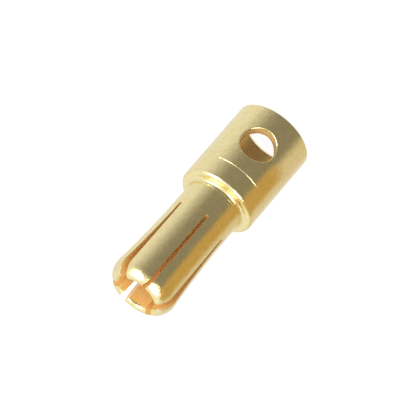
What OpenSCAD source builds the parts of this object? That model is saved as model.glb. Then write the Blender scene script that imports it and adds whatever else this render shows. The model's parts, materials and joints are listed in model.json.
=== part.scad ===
// Bullet plug for a battery lead: a turned and plated brass contact, made in one piece.
// It stands on the mouth of its solder cup, with the axis along Z and the sprung pin upwards.
// The solder hole in the cup's wall looks along -Y.

/* [Solder cup] */
// Outside diameter of the cup
cup_d = 7.3; // [6.6:0.1:9]
// Length of the cup, from its mouth to the shoulder
cup_len = 8.9; // [8:0.1:12]
// Diameter of the hollow that takes the stripped wire
cup_bore_d = 5.3; // [4.4:0.1:5.8]
// Depth of the hollow at full diameter
cup_bore_depth = 6; // [5.5:0.1:6.2]
// Width of the countersink inside the mouth
mouth_countersink = 0.3; // [0.1:0.05:0.35]
// Width of the broken edge outside the mouth
mouth_edge = 0.1; // [0.05:0.05:0.2]
// Radius of the shoulder's outer edge
shoulder_round = 0.4; // [0.1:0.05:0.45]

/* [Solder hole] */
// Diameter of the hole through one side of the cup
solder_hole_d = 3.5; // [1.5:0.1:3.8]
// Height of the hole's axis above the mouth
solder_hole_up = 3.7; // [2.6:0.1:4.2]

/* [Contact pin] */
// Diameter of the pin as it is turned
pin_d = 5.5; // [5:0.1:6]
// Length of the pin as it is turned, from the shoulder to the tip
pin_len = 11.7; // [10:0.1:14]
// Radius between the shoulder and the pin
root_fillet = 0.2; // [0.05:0.05:0.25]
// Radius of the rounded nose
nose_round = 1.38; // [0.8:0.02:1.6]
// Diameter of the bore that makes the pin springy
spring_bore_d = 3.6; // [3:0.1:4]
// Depth of that bore at full diameter, from the tip
spring_bore_depth = 8.6; // [7:0.1:9]

/* [Sprung petals] */
// Number of saw cuts across the pin, each of which makes two slots
saw_cuts = 3; // [2:1:4]
// Width of a saw cut
saw_w = 0.25; // [0.15:0.05:0.5]
// Length of the saw cuts, from the tip
saw_len = 8.8; // [7:0.1:9.4]
// Outward lean of each petal, in degrees, set after sawing
splay_angle = 2.9; // [1:0.1:4]
// Depth of the petals' bend below the end of the saw cuts
bend_down = 0.3; // [0.1:0.1:1]
// Turn from the solder hole to the first saw cut, in degrees
saw_turn_angle = -11.7; // [-30:0.1:30]

/* [Hidden] */
// Angle of the point that a twist drill leaves
drill_point = 118;
// How far a cutter runs past the metal
past = 0.5;
// Length of a petal's foot below its bend
petal_foot = 0.4;
$fn = 96;

cup_r = cup_d / 2;
cup_bore_r = cup_bore_d / 2;
pin_r = pin_d / 2;
spring_bore_r = spring_bore_d / 2;
plug_len = cup_len + pin_len;
saw_root = plug_len - saw_len;
bend_z = saw_root - bend_down;
petals = 2 * saw_cuts;
petal_angle = 360 / petals;
first_petal = saw_turn_angle - 90 + petal_angle / 2;

// Half section of a drilled hole that opens at the origin and runs along +Y
module drilled(r, depth) {
    translate([0, -past]) square([r, depth + past]);
    polygon([[0, depth], [r, depth], [0, depth + r / tan(drill_point / 2)]]);
}

// Waste outside a convex corner at the origin, with the metal below it and to its left
module rounding_waste(r) {
    difference() {
        translate([-r, -r]) square(r + past);
        translate([-r, -r]) circle(r);
    }
}

// Metal that fills a concave corner at the origin, with the walls below it and to its left
module corner_fillet(r) {
    difference() {
        square(r);
        translate([r, r]) circle(r);
    }
}

// Half section of the turned blank: distance from the axis along X, height along Y
module blank_section() {
    difference() {
        union() {
            square([cup_r, cup_len]);
            square([pin_r, plug_len]);
            translate([pin_r, cup_len]) corner_fillet(root_fillet);
        }
        translate([cup_r, cup_len]) rounding_waste(shoulder_round);
        translate([pin_r, plug_len]) rounding_waste(nose_round);
        drilled(cup_bore_r, cup_bore_depth);
        translate([0, plug_len]) mirror([0, 1]) drilled(spring_bore_r, spring_bore_depth);
        polygon([
            [0, -past],
            [cup_bore_r + mouth_countersink + past, -past],
            [cup_bore_r, mouth_countersink],
            [0, mouth_countersink]
        ]);
        polygon([
            [cup_r - mouth_edge - past, -past],
            [cup_r + past, -past],
            [cup_r + past, mouth_edge + past]
        ]);
    }
}

module blank() {
    rotate_extrude() blank_section();
}

// Hole through the -Y wall, where the solder is fed and seen
module solder_hole() {
    translate([0, 0, solder_hole_up])
        rotate([90, 0, 0])
            cylinder(d = solder_hole_d, h = cup_r + past);
}

// Metal below the ends of the saw cuts, with the solder hole
module solid_part() {
    difference() {
        blank();
        solder_hole();
        translate([-cup_r, -cup_r, saw_root]) cube([cup_d, cup_d, saw_len + past]);
    }
}

// Space of the petal that points along +X, kept back by half a saw cut from its two cuts
module petal_sector() {
    apex = saw_w / 2 / sin(petal_angle / 2);
    half_width = cup_d * tan(petal_angle / 2);
    translate([apex, 0, bend_z - petal_foot])
        linear_extrude(plug_len)
            polygon([[0, 0], [cup_d, -half_width], [cup_d, half_width]]);
}

// The petal along +X, swung out about a tangent of the pin below the ends of the saw cuts.
// Its foot is sunk in the solid metal, where the real one grows out of it.
module petal() {
    translate([pin_r, 0, bend_z])
        rotate([0, splay_angle, 0])
            translate([-pin_r, 0, -bend_z])
                intersection() {
                    blank();
                    petal_sector();
                }
}

module plug_body() {
    color("goldenrod")
        union() {
            solid_part();
            for (i = [0 : petals - 1])
                rotate(first_petal + i * petal_angle) petal();
        }
}

plug_body();
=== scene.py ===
# %% [markdown]
# # A gold-plated bullet plug
#
# This lesson dresses one small turned part: the plug of a battery lead. The real one is
# turned from a brass bar, drilled from both ends, sawn three times across its tip, sprung
# open and plated with gold. The model is made in the same order, so each step below is
# also a step in the workshop.
#
# The part was built to size in a CAD tool first. The frame loaded here holds that part,
# and everything made below has to lie in its place and inside its box.

# %% Load the frame
import json
import math

import bmesh
import bpy
from mathutils import Matrix, Vector


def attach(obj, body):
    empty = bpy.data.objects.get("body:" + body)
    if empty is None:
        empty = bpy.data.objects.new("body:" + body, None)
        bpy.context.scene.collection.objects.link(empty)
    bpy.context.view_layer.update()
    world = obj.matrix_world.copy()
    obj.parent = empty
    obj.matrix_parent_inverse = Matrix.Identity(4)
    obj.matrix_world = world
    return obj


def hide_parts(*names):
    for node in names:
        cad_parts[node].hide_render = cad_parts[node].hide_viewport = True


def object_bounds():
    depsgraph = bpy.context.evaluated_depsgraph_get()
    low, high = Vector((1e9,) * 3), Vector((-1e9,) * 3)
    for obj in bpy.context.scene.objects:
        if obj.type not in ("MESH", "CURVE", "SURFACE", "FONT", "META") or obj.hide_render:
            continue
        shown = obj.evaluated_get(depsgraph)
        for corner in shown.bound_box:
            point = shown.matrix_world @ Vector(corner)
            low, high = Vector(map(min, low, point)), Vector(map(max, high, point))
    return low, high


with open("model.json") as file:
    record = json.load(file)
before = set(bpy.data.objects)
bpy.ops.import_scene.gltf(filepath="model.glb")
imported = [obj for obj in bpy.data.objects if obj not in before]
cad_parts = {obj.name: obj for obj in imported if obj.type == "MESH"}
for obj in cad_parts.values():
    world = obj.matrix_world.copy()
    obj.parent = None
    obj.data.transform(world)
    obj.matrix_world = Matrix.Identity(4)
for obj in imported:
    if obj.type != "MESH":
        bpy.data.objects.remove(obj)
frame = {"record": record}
cad_low, cad_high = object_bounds()
scene = bpy.context.scene
scene.view_settings.view_transform = "Standard"
print("CAD box in mm:", [round(v * 1000, 2) for v in cad_high - cad_low])

# %% [markdown]
# ## The sizes
#
# Blender works in metres and a machinist in millimetres, so every length is written in
# millimetres and multiplied by `MM`. The outer size and the two solder openings come from
# the frame and its mounts. The rest are the turning sizes of the cup and the pin.
#
# The three saw cuts are meant to cross on the axis. The first one was made a little turned
# and off centre, as happens at the bench, so it has a turn and an offset of its own.

# %% Sizes
MM = 0.001
mounts = {mount["name"]: mount for mount in frame["record"]["mounts"]}
cup_radius = (cad_high.x - cad_low.x) / 2
cup_bore_radius = mounts["solder_cup"]["dims"]["r_mm"] * MM
hole_radius = mounts["solder_hole"]["dims"]["r_mm"] * MM
hole_centre = Vector(mounts["solder_hole"]["pos_m"])

cup_length = 8.9 * MM
cup_bore_depth = 6.0 * MM
plug_length = 20.6 * MM
blank_top = 20.53 * MM
pin_radius = 2.75 * MM
spring_bore_radius = 1.5 * MM
spring_bore_depth = 8.6 * MM
nose_round = 1.75 * MM
lip_round = 0.4 * MM
shoulder_round = 0.4 * MM
root_fillet = 0.35 * MM
mouth_countersink = 0.3 * MM
mouth_edge = 0.1 * MM
drill_point_half = math.radians(118 / 2)

saw_width = 0.25 * MM
saw_root = plug_length - 8.8 * MM
saw_turn = math.radians(-11.7)
cut_turns = (math.radians(-6.2), 0, 0)
cut_offsets = (0.33 * MM, 0, 0)
petal_count = 6
petal_angle = 2 * math.pi / petal_count
minus_y = math.radians(-90)
print("cup radius", round(cup_radius / MM, 3), "mm")
print("saw cuts end at", round(saw_root / MM, 2), "mm")

# %% [markdown]
# ## Small helpers for edit mode
#
# An operator works on all that is selected, so each step starts from nothing selected and
# picks its own vertices or edges by their place. These helpers do only that. Everything
# that changes a shape is an operator you would also use by hand.

# %% Edit mode helpers
def only(piece):
    """Selects one object and makes it the active one."""
    if bpy.context.object and bpy.context.object.mode != "OBJECT":
        bpy.ops.object.mode_set(mode="OBJECT")
    bpy.ops.object.select_all(action="DESELECT")
    piece.select_set(True)
    bpy.context.view_layer.objects.active = piece


def edit(piece):
    """Opens a piece in edit mode with nothing selected."""
    only(piece)
    bpy.ops.object.mode_set(mode="EDIT")
    bpy.ops.mesh.select_mode(type="VERT")
    bpy.ops.mesh.select_all(action="DESELECT")


def pick_edges(piece, wanted, sharper_than=30):
    """Selects the sharp edges whose two ends pass a test, and says how many there are."""
    bpy.ops.mesh.select_mode(type="EDGE")
    mesh = bmesh.from_edit_mesh(piece.data)
    for edge in mesh.edges:
        sharp = edge.is_manifold and edge.calc_face_angle(0) > math.radians(sharper_than)
        edge.select = sharp and all(wanted(vertex.co) for vertex in edge.verts)
    mesh.select_flush_mode()
    bmesh.update_edit_mesh(piece.data)
    return sum(edge.select for edge in mesh.edges)


def radius_of(point):
    """Distance of a point from the plug's axis."""
    return math.hypot(point.x, point.y)


def apply_modifier(piece, kind, **settings):
    """Adds a modifier, sets it and applies it."""
    only(piece)
    modifier = piece.modifiers.new(kind.title(), kind)
    for name, value in settings.items():
        setattr(modifier, name, value)
    bpy.ops.object.modifier_apply(modifier=modifier.name)


def cut_away(piece, cutter):
    """Takes a cutter's volume out of a piece and throws the cutter away."""
    apply_modifier(piece, "BOOLEAN", operation="DIFFERENCE", object=cutter, solver="EXACT")
    bpy.data.objects.remove(cutter)


# %% [markdown]
# ## Turning the blank
#
# A turned part is a half section swept round an axis. The section could be a list of
# points, but drawing it as a tool path keeps the sizes readable: one vertex is extruded
# along each straight cut, and spun about a centre for each rounded corner. The path starts
# on the axis at the bottom of the solder cup, goes out through the mouth, up the outside,
# over the nose and down into the spring bore, so the spin closes the solid by itself.
#
# The shallow groove a third of the way up is the fine line that the turning tool leaves
# round the cup. It catches the light across the dark band of the reflection.

# %% Draw the half section
bpy.ops.object.select_all(action="DESELECT")
bpy.ops.mesh.primitive_plane_add(size=MM)
plug = bpy.context.object
plug.name = plug.data.name = "gold_plug"
bpy.ops.object.mode_set(mode="EDIT")
bpy.ops.mesh.merge(type="CENTER")
pen = Vector((0, 0, 0))


def move_pen_to(radius, height):
    """Moves the one selected vertex without drawing."""
    global pen
    target = Vector((radius, 0, height))
    bpy.ops.transform.translate(value=target - pen)
    pen = target


def line_to(radius, height):
    """Extrudes the end of the path in a straight line."""
    global pen
    target = Vector((radius, 0, height))
    bpy.ops.mesh.extrude_vertices_move(TRANSFORM_OT_translate={"value": target - pen})
    pen = target


def arc(centre_radius, centre_height, degrees, steps):
    """Spins the end of the path about a point, anticlockwise as seen with Z up and X right."""
    global pen
    centre = Vector((centre_radius, 0, centre_height))
    angle = math.radians(degrees)
    bpy.ops.mesh.spin(steps=steps, angle=angle, center=centre, axis=(0, 1, 0))
    pen = centre + Matrix.Rotation(-angle, 3, "Y") @ (pen - centre)


line_height, line_depth, line_half_width = 6.85 * MM, 0.035 * MM, 0.06 * MM
nose_arc = math.acos(
    (spring_bore_radius + lip_round - pin_radius + nose_round) / (nose_round - lip_round)
)
nose_start = blank_top - lip_round - (nose_round - lip_round) * math.sin(nose_arc)
spring_bore_end = plug_length - spring_bore_depth

move_pen_to(0, cup_bore_depth + cup_bore_radius / math.tan(drill_point_half))
line_to(cup_bore_radius, cup_bore_depth)
line_to(cup_bore_radius, mouth_countersink)
line_to(cup_bore_radius + mouth_countersink, 0)
line_to(cup_radius - mouth_edge, 0)
line_to(cup_radius, mouth_edge)
line_to(cup_radius, line_height - line_half_width)
line_to(cup_radius - line_depth, line_height)
line_to(cup_radius, line_height + line_half_width)
line_to(cup_radius, cup_length - shoulder_round)
arc(cup_radius - shoulder_round, cup_length - shoulder_round, 90, 8)
line_to(pin_radius + root_fillet, cup_length)
arc(pin_radius + root_fillet, cup_length + root_fillet, -90, 6)
line_to(pin_radius, nose_start)
arc(pin_radius - nose_round, nose_start, math.degrees(nose_arc), 10)
arc(spring_bore_radius + lip_round, blank_top - lip_round, 180 - math.degrees(nose_arc), 9)
line_to(spring_bore_radius, spring_bore_end)
line_to(0, spring_bore_end - spring_bore_radius / math.tan(drill_point_half))
print("points in the section:", len(bmesh.from_edit_mesh(plug.data).verts), "pen at", pen)

# %% [markdown]
# The spin makes 96 sides. They are turned by half a side, so that no row of vertices runs
# along the edge of the solder hole or of a saw slot: a bevel needs room on both sides.
# Both ends of the path lie on the axis, so merging by distance closes the two cones.

# %% Spin the section
sides = 96
bpy.ops.mesh.select_all(action="SELECT")
bpy.ops.transform.rotate(
    value=-(minus_y + math.pi / sides), orient_axis="Z", center_override=(0, 0, 0)
)
bpy.ops.mesh.spin(steps=sides, angle=2 * math.pi, center=(0, 0, 0), axis=(0, 0, 1))
bpy.ops.mesh.select_all(action="SELECT")
bpy.ops.mesh.remove_doubles(threshold=0.001 * MM)
bpy.ops.mesh.normals_make_consistent(inside=False)
bpy.ops.object.mode_set(mode="OBJECT")
print("blank:", len(plug.data.vertices), "vertices,", len(plug.data.polygons), "faces")

# %% [markdown]
# ## The solder hole
#
# Solder goes in through a round hole drilled through one wall of the cup. Here a cylinder
# takes it out with a Boolean. A drilled hole has a sharp rim, so the workshop breaks it with
# a countersink: that is the bright ring seen round the hole, and a bevel of the rim makes it.
# The bevel opens the hole to the size that the frame's mount gives.
#
# The bevel's loop_slide is off. Left on, the bevel would rather slide along the edges that
# are already there than keep the ring the same width all round.

# %% Drill the solder hole
hole_rim_outside = 0.12 * MM
hole_rim_inside = 0.04 * MM
drilled_radius = hole_radius - hole_rim_outside
bpy.ops.mesh.primitive_cylinder_add(
    vertices=72, radius=drilled_radius, depth=cup_radius, rotation=(math.pi / 2, 0, 0),
    location=(0, -cup_radius * 1.05, hole_centre.z),
)
cut_away(plug, bpy.context.object)


def in_hole(point, slack=0.02 * MM):
    """True on the wall of the solder hole and on its rims."""
    across = math.hypot(point.x, point.z - hole_centre.z)
    return point.y < 0 and across < drilled_radius + slack


edit(plug)
middle_of_wall = (cup_radius + cup_bore_radius) / 2
outside = pick_edges(plug, lambda p: in_hole(p) and radius_of(p) > middle_of_wall)
bpy.ops.mesh.bevel(offset=hole_rim_outside, segments=3, profile=0.5, loop_slide=False)
inside = pick_edges(plug, lambda p: in_hole(p) and radius_of(p) < middle_of_wall)
bpy.ops.mesh.bevel(offset=hole_rim_inside, segments=1, loop_slide=False)
bpy.ops.object.mode_set(mode="OBJECT")
print("rim edges beveled:", outside, "outside and", inside, "inside")

# %% [markdown]
# ## The saw cuts
#
# Three cuts across the tip make six petals. Each cut is one thin box that goes right
# across, turned by about 60 degrees from the last, so the six slots come from only three
# strokes, as on the bench. The fine bevel along the cut edges stands for the burr that
# tumbling takes off: without it the edges would not catch the light.
#
# The boxes cut the plug one after another, and `cuts` keeps where each one was. The later
# steps tell the cut walls and the petals apart by it.

# %% Saw the tip
saw_reach = plug_length - saw_root + 1 * MM
cuts = []
for number, (extra, offset) in enumerate(zip(cut_turns, cut_offsets)):
    angle = minus_y + saw_turn + extra + number * petal_angle
    across = Vector((-math.sin(angle), math.cos(angle), 0))
    cuts.append((across, offset))
    middle = across * offset + Vector((0, 0, saw_root + saw_reach / 2))
    bpy.ops.mesh.primitive_cube_add(size=1, rotation=(0, 0, angle), location=middle)
    saw = bpy.context.object
    saw.scale = (4 * pin_radius, saw_width, saw_reach)
    bpy.ops.object.transform_apply(location=True, rotation=True, scale=True)
    cut_away(plug, saw)

saw_edge_round = 0.022 * MM


def beside_a_cut(point):
    """True on the walls of a saw cut, above its root and outside the bore."""
    if point.z < saw_root - 0.01 * MM or radius_of(point) < 0.8 * spring_bore_radius:
        return False
    reach = saw_width / 2 + 0.002 * MM
    return any(abs(point.dot(across) - offset) < reach for across, offset in cuts)


edit(plug)
print("saw edges beveled:", pick_edges(plug, beside_a_cut))
bpy.ops.mesh.bevel(offset=saw_edge_round, segments=2, loop_slide=False)
bpy.ops.object.mode_set(mode="OBJECT")

# %% [markdown]
# ## Polished faces and cut faces
#
# Tumbling polishes the outside, but not the bores, the wall of the solder hole and the saw
# cuts: they stay satin, and look more orange, because light reaches them by way of other
# gold. Their faces get a second material slot now, while they can still be told by place.

# %% Tell the cut faces from the polished ones
for name in ("gold_plating", "gold_in_bores"):
    plug.data.materials.append(bpy.data.materials.new(name))


def is_cut(face):
    """True for a face inside the plug, or on a wall that a drill or the saw has made."""
    middle, normal = face.center, face.normal
    faces_axis, upright = middle.dot(normal) < 0, abs(normal.z) < 0.3
    spring_bore = (faces_axis and upright and middle.z > saw_root - 1 * MM
                   and radius_of(middle) < 0.9 * pin_radius)
    below_spring_bore = middle.z < spring_bore_end and radius_of(middle) < 1.001 * cup_bore_radius
    hole_wall = (abs(normal.y) < 0.05 and in_hole(middle)
                 and radius_of(middle) < 0.98 * cup_radius)
    sawn = beside_a_cut(middle) and any(abs(normal.dot(across)) > 0.99 for across, _ in cuts)
    return spring_bore or below_spring_bore or hole_wall or sawn


for face in plug.data.polygons:
    face.material_index = int(is_cut(face))
print("cut faces:", sum(face.material_index for face in plug.data.polygons))

# %% [markdown]
# ## Springing the petals
#
# After sawing, the petals are spread with a cone, so that they press outwards in the
# socket. A petal bends most near its root and a little all the way up. Straight walls
# can't bend, so bisecting first lays rings of edges up the petals. Then everything above
# each ring is turned by a small share of the petal's lean.
#
# The spreading is done by hand, so no two petals stand quite alike, and each has a lean of
# its own in degrees. The leans start with the petal to one side of the solder hole and go
# round anticlockwise. The whole plug is turned so that each petal in its turn faces +X, and
# there it leans about the Y axis.
#
# A bent petal can cross a plane that it didn't cross before. So each vertex is given its
# petal and its height before the first bend, and is picked by those.

# %% Rings for bending
bend_heights = [saw_root + step * MM for step in
                (0.1, 0.35, 0.65, 1.0, 1.6, 2.4, 3.2, 4.0, 4.8, 5.6, 6.4, 7.0)]
root_bends = 4
edit(plug)
for height in bend_heights:
    bpy.ops.mesh.select_all(action="SELECT")
    bpy.ops.mesh.bisect(plane_co=(0, 0, height), plane_no=(0, 0, 1))
bpy.ops.object.mode_set(mode="OBJECT")
print("rings:", len(bend_heights), "vertices now:", len(plug.data.vertices))

# %% Spread the petals
petal_leans = [0.8, 0.9, 3.3, 3.15, 2.6, 3.0]
first_petal = minus_y + saw_turn - petal_angle / 2
wall_middle = (pin_radius + spring_bore_radius) / 2


def turn(angle, axis, centre=(0, 0, 0)):
    """Turns what is selected anticlockwise. With no window the operator's sign is reversed."""
    bpy.ops.transform.rotate(value=-angle, orient_axis=axis, center_override=centre)


def sides_of_cuts(point):
    """On which side of each saw cut a point lies, which tells one petal from another."""
    return tuple(point.dot(across) > offset for across, offset in cuts)


straight = [(sides_of_cuts(v.co), v.co.z) for v in plug.data.vertices]


def pick_petal(sides, height, slack=0.05 * MM):
    """Selects one petal's vertices above a height, by where they were before the bending."""
    mesh = bmesh.from_edit_mesh(plug.data)
    for vertex in mesh.verts:
        own_sides, own_height = straight[vertex.index]
        vertex.select = own_sides == sides and own_height > height + slack
    mesh.select_flush_mode()
    bmesh.update_edit_mesh(plug.data)


root_share = 0.5 / root_bends
upper_share = 1 / (len(bend_heights) - root_bends)
edit(plug)
bpy.ops.mesh.select_all(action="SELECT")
turn(-first_petal, "Z")
for petal, lean in enumerate(petal_leans):
    angle = first_petal + petal * petal_angle
    facing = Vector((pin_radius * math.cos(angle), pin_radius * math.sin(angle), 0))
    for number, height in enumerate(bend_heights):
        share = root_share if number < root_bends else upper_share
        pick_petal(sides_of_cuts(facing), height)
        turn(math.radians(lean) * share, "Y", (wall_middle, 0, height))
    bpy.ops.mesh.select_all(action="SELECT")
    turn(-petal_angle, "Z")
turn(first_petal, "Z")
bpy.ops.object.mode_set(mode="OBJECT")
tip_radius = max(radius_of(v.co) for v in plug.data.vertices if v.co.z > saw_root)
tip_height = max(v.co.z for v in plug.data.vertices)
print("widest petal:", round(tip_radius / MM, 3), "mm, top:", round(tip_height / MM, 3), "mm")

# %% [markdown]
# ## Smooth shading
#
# The sides of the spin are flat. Shading them smooth, up to an angle, hides that and keeps
# the edges of the cuts crisp. The bevels are narrow beside the big walls, so Weighted Normal
# lets the walls decide how the light runs, and they reflect without dents.

# %% Shade and weight the normals
only(plug)
bpy.ops.object.shade_smooth_by_angle(angle=math.radians(28), keep_sharp_edges=True)
apply_modifier(plug, "WEIGHTED_NORMAL", mode="FACE_AREA_WITH_ANGLE", weight=50, keep_sharp=True)
print("plug:", len(plug.data.vertices), "vertices,", len(plug.data.polygons), "faces")

# %% [markdown]
# ## Gold
#
# Thin gold over turned brass is a plain metal: its colour is the colour of its reflection,
# and what makes it look real is the fine unevenness of the polish. Shader maths is easier
# to read as expressions, so one small class wraps a socket and lets Python's operators add
# Math nodes.

# %% A socket that understands arithmetic
class Value:
    """One output socket. Arithmetic on it adds Math nodes."""

    def __init__(self, tree, socket):
        self.tree, self.socket = tree, socket

    @classmethod
    def add(cls, tree, kind, settings=None, output=0, **inputs):
        """Adds a node of any type, and returns one of its outputs.

        The settings are made first. An input is named with _ for a space, or _0, _1 and so
        on by its number, and takes a Value, a number or a colour.
        """
        made = tree.nodes.new(kind)
        for name, value in (settings or {}).items():
            if name == "stops":
                cls.set_stops(made.color_ramp, value)
            else:
                setattr(made, name, value)
        for name, value in inputs.items():
            key = int(name[1:]) if name[0] == "_" else name.replace("_", " ")
            cls.connect(tree, made.inputs[key], value)
        return cls(tree, made.outputs[output])

    @staticmethod
    def set_stops(ramp, stops):
        """Gives a ramp its stops, as places from 0 to 1 with a colour each."""
        while len(ramp.elements) < len(stops):
            ramp.elements.new(0.5)
        for element, (place, colour) in zip(ramp.elements, stops):
            element.position, element.color = place, (*colour, 1)

    @staticmethod
    def connect(tree, slot, value):
        """Links a Value to an input, or writes a plain number or colour on it."""
        if isinstance(value, Value):
            tree.links.new(value.socket, slot)
        else:
            slot.default_value = value

    def math(self, operation, *others):
        """Adds one Math node on this value and the others."""
        numbered = {f"_{number}": value for number, value in enumerate((self, *others))}
        return Value.add(self.tree, "ShaderNodeMath", {"operation": operation}, **numbered)

    def __add__(self, other):
        return self.math("ADD", other)

    def __mul__(self, other):
        return self.math("MULTIPLY", other)

    __radd__, __rmul__ = __add__, __mul__


def empty_material(name):
    """A node material with nothing in it, and its tree."""
    material = bpy.data.materials.get(name) or bpy.data.materials.new(name)
    material.use_nodes = True
    material.node_tree.nodes.clear()
    return material, material.node_tree


def set_surface(tree, shader, kind="ShaderNodeOutputMaterial"):
    """Ends a tree with its output node."""
    output = tree.nodes.new(kind)
    tree.links.new(shader.socket, output.inputs["Surface"])


# %% [markdown]
# Two noises make the unevenness of the polish. A scale counts the patches in a metre, so
# the patches of `cloud` are about 0.4 mm wide and those of `grain` about 0.1 mm. `cloud`
# changes the colour, the gloss and the surface a little, and `grain` the surface alone.
# Both read Object coordinates, so the pattern stays on the plug.

# %% The gold plating
_, tree = empty_material("gold_plating")
place = Value.add(tree, "ShaderNodeTexCoord", output=3)
cloud = Value.add(tree, "ShaderNodeTexNoise", Vector=place, Scale=2600.0, Detail=3.0,
                  Roughness=0.6)
grain = Value.add(tree, "ShaderNodeTexNoise", Vector=place, Scale=9000.0, Detail=2.0,
                  Roughness=0.7)
dull_gold, bright_gold = (0.78, 0.64, 0.30, 1), (1.0, 0.90, 0.52, 1)
colour = Value.add(tree, "ShaderNodeMix", {"data_type": "RGBA"}, output=2, Factor=cloud,
                   _6=dull_gold, _7=bright_gold)
bump = Value.add(tree, "ShaderNodeBump", Height=cloud * 0.6 + grain * 0.4, Strength=1.0,
                 Distance=0.03 * MM)
set_surface(tree, Value.add(
    tree, "ShaderNodeBsdfPrincipled", Base_Color=colour, Metallic=1.0,
    Roughness=0.13 + cloud * 0.10, Normal=bump,
))
print("gold plating:", len(tree.nodes), "nodes")

# %% [markdown]
# In the bores and the cuts the gold is satin, and light has met gold several times before
# it leaves. A renderer follows only a few such meetings, so the deeper ones are put into the
# colour, and the metal is mixed with a plain diffuse part. A sine along the axis makes the
# rings that a drill leaves in a bore.

# %% The gold in the bores
_, tree = empty_material("gold_in_bores")
place = Value.add(tree, "ShaderNodeTexCoord", output=3)
height = Value.add(tree, "ShaderNodeSeparateXYZ", output=2, Vector=place)
ring_pitch = 0.22 * MM
rings = (height * (2 * math.pi / ring_pitch)).math("SINE")
cloud = Value.add(tree, "ShaderNodeTexNoise", Vector=place, Scale=3500.0, Detail=3.0)
deep_orange, pale_orange = (0.90, 0.58, 0.20, 1), (1.0, 0.75, 0.33, 1)
colour = Value.add(tree, "ShaderNodeMix", {"data_type": "RGBA"}, output=2, Factor=cloud,
                   _6=deep_orange, _7=pale_orange)
bump = Value.add(tree, "ShaderNodeBump", Height=rings + cloud, Strength=0.4,
                 Distance=0.008 * MM)
set_surface(tree, Value.add(
    tree, "ShaderNodeBsdfPrincipled", Base_Color=colour, Metallic=0.5, Roughness=0.34,
    Normal=bump,
))
print("gold in the bores:", len(tree.nodes), "nodes")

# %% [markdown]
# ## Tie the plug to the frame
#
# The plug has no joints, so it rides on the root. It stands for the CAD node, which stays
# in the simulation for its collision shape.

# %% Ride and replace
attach(plug, "root")
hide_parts("plug_body")

# %% [markdown]
# ## Camera
#
# The plug stands on its mouth, as its record says, and the camera looks down on it from
# the side of the solder hole. It is rolled about its own axis, so that the plug lies
# across the view with its tip at the lower left.

# %% Camera
azimuth, elevation, roll = math.radians(-7.217), math.radians(28.747), math.radians(-139.392)
distance = 250.81 * MM
aim = Vector((-0.049, 0.006, 9.748)) * MM
back = Vector((
    math.sin(azimuth) * math.cos(elevation),
    -math.cos(azimuth) * math.cos(elevation),
    math.sin(elevation),
))
camera = bpy.data.objects.new("camera", bpy.data.cameras.new("camera"))
scene.collection.objects.link(camera)
camera.data.lens, camera.data.sensor_width = 250, 36
camera.data.clip_start, camera.data.clip_end = 1 * MM, 10
stand = Matrix.Translation(aim + back * distance)
look = (-back).to_track_quat("-Z", "Y").to_matrix().to_4x4()
camera.matrix_world = stand @ look @ Matrix.Rotation(roll, 4, "Z")
scene.camera = camera
print("camera at", [round(v / MM, 2) for v in camera.matrix_world.translation], "mm")

# %% [markdown]
# ## Studio
#
# Polished metal shows its surroundings and hardly anything else, so the surroundings are
# the real paint here. In a studio, a small metal part stands in a white tent with a gap for
# the camera: the tent makes the bright flanks, and the gap the dark band down the middle.
#
# The tent is the world, drawn by direction. A ramp goes once round it, with the camera's
# side in the middle, and higher up it turns white all round. The camera itself sees the
# world as plain white.

# %% The tent
world = bpy.data.worlds.new("tent")
world.use_nodes = True
scene.world = world
sky = world.node_tree
sky.nodes.clear()
towards_camera = Vector((back.x, back.y, 0)).normalized()
across_view = Vector((-towards_camera.y, towards_camera.x, 0))
direction = Value.add(sky, "ShaderNodeTexCoord", output=0)


def along(axis):
    """How far the direction points along an axis."""
    return Value.add(sky, "ShaderNodeVectorMath", {"operation": "DOT_PRODUCT"}, output=1,
                     _0=direction, _1=tuple(axis))


def round_the_tent(*rows):
    """Ramp stops from angles in degrees, -180 to 180, and their colours."""
    return [((angle + 180) / 360, colour) for angle, colour in rows]


white, grey_gap, brown_gap = (0.90, 0.90, 0.90), (0.29, 0.27, 0.24), (0.28, 0.26, 0.22)
side = along(across_view).math("ARCTAN2", along(towards_camera))
up = along((0, 0, 1)).math("ARCSINE")
band = Value.add(sky, "ShaderNodeValToRGB", {"stops": round_the_tent(
    (-180, white),
    (-150, (0.86, 0.82, 0.76)),
    (-130, (0.76, 0.68, 0.58)),
    (-76, (0.72, 0.64, 0.50)),
    (-56, brown_gap),
    (24, grey_gap),
    (40, (0.40, 0.38, 0.35)),
    (84, (0.90, 0.89, 0.88)),
    (180, white),
)}, Fac=side * (1 / (2 * math.pi)) + 0.5)
lift = Value.add(sky, "ShaderNodeMapRange", {"interpolation_type": "SMOOTHSTEP"},
                 Value=up, From_Min=math.radians(12), From_Max=math.radians(42))
tent = Value.add(sky, "ShaderNodeMix", {"data_type": "RGBA"}, output=2,
                 Factor=lift, _6=band, _7=(1, 1, 1, 1))
seen = Value.add(sky, "ShaderNodeLightPath", output=0)
tent = Value.add(sky, "ShaderNodeMix", {"data_type": "RGBA"}, output=2,
                 Factor=seen, _6=tent, _7=(1, 1, 1, 1))
set_surface(sky, Value.add(sky, "ShaderNodeBackground", Color=tent, Strength=1.0),
            "ShaderNodeOutputWorld")
print("tent:", len(sky.nodes), "nodes")

# %% [markdown]
# Two round lamps, one each side of the camera and above it, put the bright patches on the
# rounded tip. Their size and distance set how large the patches are. A lamp's energy is
# worked out from how bright its face is to be.

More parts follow.
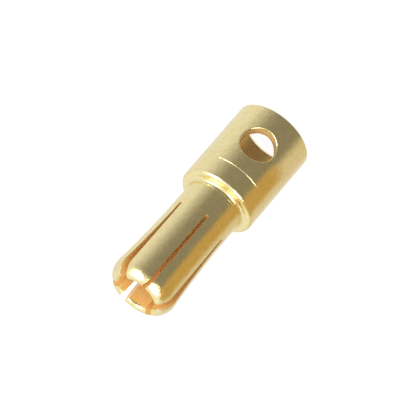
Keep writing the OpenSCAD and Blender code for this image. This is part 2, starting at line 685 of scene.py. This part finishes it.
# %% Lamps
lamp_distance = 300 * MM
lamp_width, lamp_brightness = 210 * MM, 4.0
lamp_area = math.pi * (lamp_width / 2) ** 2
for name, side_degrees, up_degrees in (("lamp_left", 56, 42), ("lamp_right", -46, 44)):
    level = Matrix.Rotation(math.radians(side_degrees), 3, "Z") @ towards_camera
    rise = math.radians(up_degrees)
    to_lamp = level * math.cos(rise) + Vector((0, 0, math.sin(rise)))
    lamp = bpy.data.lights.new(name, "AREA")
    lamp.shape, lamp.size = "DISK", lamp_width
    lamp.energy = lamp_brightness * math.pi * lamp_area
    lamp_object = bpy.data.objects.new(name, lamp)
    scene.collection.objects.link(lamp_object)
    lamp_object.location = aim + to_lamp * lamp_distance
    lamp_object.rotation_euler = (-to_lamp).to_track_quat("-Z", "Y").to_euler()
    print(name, "energy", round(lamp.energy, 3), "W")

# %% [markdown]
# A warm card stands close beside the plug and makes the orange stripe next to the dark
# band. Because it is close, the stripe ends part of the way down the cup, where a reflected
# ray passes under the card. The card is seen in reflections only.

# %% The warm card
bpy.ops.object.select_all(action="DESELECT")
card_side, card_facing, card_distance = math.radians(-61), math.radians(-76), 7.8 * MM
card_width, card_low, card_high = 6.2 * MM, 1.2 * MM, 24 * MM
card_way = Matrix.Rotation(card_side, 3, "Z") @ towards_camera
card_turn = math.atan2(towards_camera.y, towards_camera.x) + card_facing + math.pi / 2
bpy.ops.mesh.primitive_plane_add(
    size=1, rotation=(math.pi / 2, 0, card_turn),
    location=card_way * card_distance + Vector((0, 0, (card_low + card_high) / 2)),
)
card = bpy.context.object
card.name = card.data.name = "warm_card"
card.scale = (card_width, card_high - card_low, 1)
bpy.ops.object.transform_apply(location=True, rotation=True, scale=True)
card.visible_camera = card.visible_diffuse = card.visible_shadow = False
warm, tree = empty_material("warm_paper")
set_surface(tree, Value.add(tree, "ShaderNodeEmission", Color=(0.58, 0.39, 0.15, 1),
                            Strength=1.0))
card.data.materials.append(warm)

# %% [markdown]
# The floor glows white to the camera, and a little of it is plain paper, which keeps the
# plug's shadow. The metal doesn't see the floor: it sees the tent below as well as above.

# %% The floor
bpy.ops.object.select_all(action="DESELECT")
bpy.ops.mesh.primitive_plane_add(size=2, location=(0, 0, -0.005 * MM))
floor = bpy.context.object
floor.name = floor.data.name = "floor"
bpy.ops.object.transform_apply(location=True)
floor.visible_glossy = False
floor_white, tree = empty_material("white_floor")
paper = Value.add(tree, "ShaderNodeBsdfDiffuse", Color=(0.15, 0.15, 0.15, 1))
seen = Value.add(tree, "ShaderNodeLightPath", output=0)
glow = Value.add(tree, "ShaderNodeEmission", Color=(1, 1, 1, 1), Strength=seen * 0.96)
set_surface(tree, Value.add(tree, "ShaderNodeAddShader", _0=paper, _1=glow))
floor.data.materials.append(floor_white)

# %% [markdown]
#
# The dressed plug has to stay inside the box of the CAD part. The box of the CAD part is printed.

# %% Print the CAD box and finish
print("CAD box   ", [round(v / MM, 3) for v in (*cad_low, *cad_high)])
